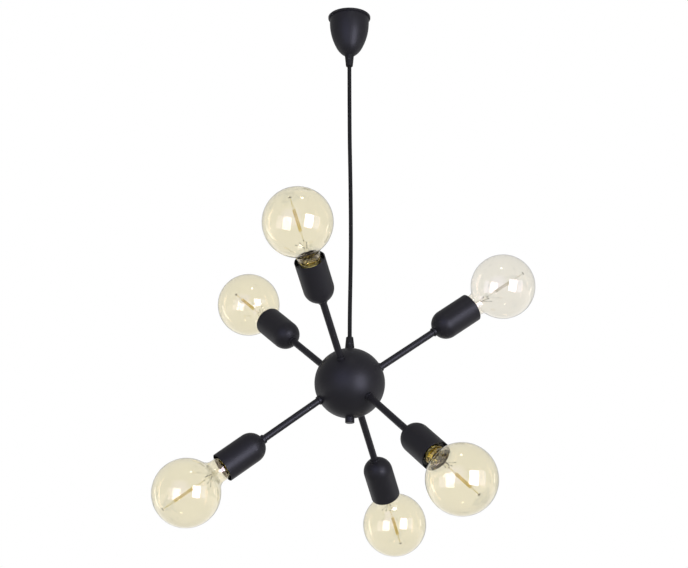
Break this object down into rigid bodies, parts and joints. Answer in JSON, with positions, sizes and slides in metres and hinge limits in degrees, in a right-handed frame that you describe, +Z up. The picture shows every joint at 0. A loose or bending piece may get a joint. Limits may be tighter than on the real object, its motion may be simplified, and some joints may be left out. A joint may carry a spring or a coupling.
{
  "type": "chandelier",
  "caption": "Hanging lamp: ceiling cup, straight cord and a black ball whose slim arms reach up and down to cup lampholders with large round amber bulbs.",
  "frame": {"origin": "centre of the ceiling bracket's top face, on the ceiling", "axes": "+Z up along the cord, +X along the bracket's two screw holes, -Y towards the viewer"},
  "size_m": [0.5428, 0.5274, 0.7927],
  "materials": {
    "black_coat": "matt black powder coat",
    "black_plastic": "matt black moulded nylon",
    "cord_jacket": "matt black PVC jacket",
    "zinc_steel": "bright zinc plate",
    "holder_plastic": "black phenolic moulding",
    "brass": "drawn brass, slightly dulled",
    "terminal_nylon": "natural nylon",
    "lead_pvc": "PVC lead insulation",
    "amber_glass": "thin amber tinted glass",
    "stem_glass": "clear stem glass with wires"
  },
  "bodies": {
    "bracket": {"ceiling_bracket": "zinc_steel"},
    "cord_set": {"cord_clamp": "black_plastic", "clamp_bar": "black_plastic", "clamp_screws": "zinc_steel", "terminal_block": "terminal_nylon", "core_leads": "lead_pvc", "cord": "cord_jacket"},
    "cup_set": {"ceiling_cup": "black_coat", "cup_grip": "black_plastic", "cup_grip_nut": "black_plastic", "cup_grip_screw": "zinc_steel"},
    "lamp_cluster": {"ball_grip": "black_plastic", "ball_grip_screw": "zinc_steel", "ball_upper_shell": "black_coat", "ball_lower_shell": "black_coat", "centre_tube": "zinc_steel", "tube_nuts": "zinc_steel", "bottom_cap_nut": "black_coat", "terminal_ring": "terminal_nylon", "ball_leads": "lead_pvc", "arm_collars": "black_coat", "arm_nuts": "zinc_steel", "arm_wires": "lead_pvc", "socket_contacts": "brass", "arm_1": "black_coat", "arm_2": "black_coat", "arm_3": "black_coat", "arm_4": "black_coat", "arm_5": "black_coat", "arm_6": "black_coat", "lamp_cup_1": "black_coat", "lamp_cup_2": "black_coat", "lamp_cup_3": "black_coat", "lamp_cup_4": "black_coat", "lamp_cup_5": "black_coat", "lamp_cup_6": "black_coat", "lampholder_1": "holder_plastic", "lampholder_2": "holder_plastic", "lampholder_3": "holder_plastic", "lampholder_4": "holder_plastic", "lampholder_5": "holder_plastic", "lampholder_6": "holder_plastic"},
    "bulb_1": {"bulb_glass_1": "amber_glass", "bulb_cap_1": "brass", "bulb_filament_1": "stem_glass"},
    "bulb_2": {"bulb_glass_2": "amber_glass", "bulb_cap_2": "brass", "bulb_filament_2": "stem_glass"},
    "bulb_3": {"bulb_glass_3": "amber_glass", "bulb_cap_3": "brass", "bulb_filament_3": "stem_glass"},
    "bulb_4": {"bulb_glass_4": "amber_glass", "bulb_cap_4": "brass", "bulb_filament_4": "stem_glass"},
    "bulb_5": {"bulb_glass_5": "amber_glass", "bulb_cap_5": "brass", "bulb_filament_5": "stem_glass"},
    "bulb_6": {"bulb_glass_6": "amber_glass", "bulb_cap_6": "brass", "bulb_filament_6": "stem_glass"}
  },
  "joints": [
    {"name": "pendant_swing", "type": "hinge", "parent": "bracket", "child": "cord_set", "pos_m": [0, 0, -0.0175], "axis": [0, 1, 0], "range_deg": [-5, 5]},
    {"name": "cup_slide", "type": "slide", "parent": "cord_set", "child": "cup_set", "axis": [0, 0, -1], "range_m": [0, 0.06]},
    {"name": "cord_twist", "type": "hinge", "parent": "cord_set", "child": "lamp_cluster", "pos_m": [0, 0, -0.5757], "axis": [0, 0, 1], "range_deg": [-180, 180]},
    {"name": "bulb_1_out", "type": "slide", "parent": "lamp_cluster", "child": "bulb_1", "axis": [0.795, 0.1777, 0.58], "range_m": [0, 0.03]},
    {"name": "bulb_2_out", "type": "slide", "parent": "lamp_cluster", "child": "bulb_2", "axis": [0.238, 0.7596, -0.6053], "range_m": [0, 0.03]},
    {"name": "bulb_3_out", "type": "slide", "parent": "lamp_cluster", "child": "bulb_3", "axis": [-0.5476, 0.5791, 0.6039], "range_m": [0, 0.03]},
    {"name": "bulb_4_out", "type": "slide", "parent": "lamp_cluster", "child": "bulb_4", "axis": [-0.7817, -0.1662, -0.6011], "range_m": [0, 0.03]},
    {"name": "bulb_5_out", "type": "slide", "parent": "lamp_cluster", "child": "bulb_5", "axis": [-0.2406, -0.7632, 0.5997], "range_m": [0, 0.03]},
    {"name": "bulb_6_out", "type": "slide", "parent": "lamp_cluster", "child": "bulb_6", "axis": [0.5065, -0.6015, -0.6177], "range_m": [0, 0.03]}
  ]
}
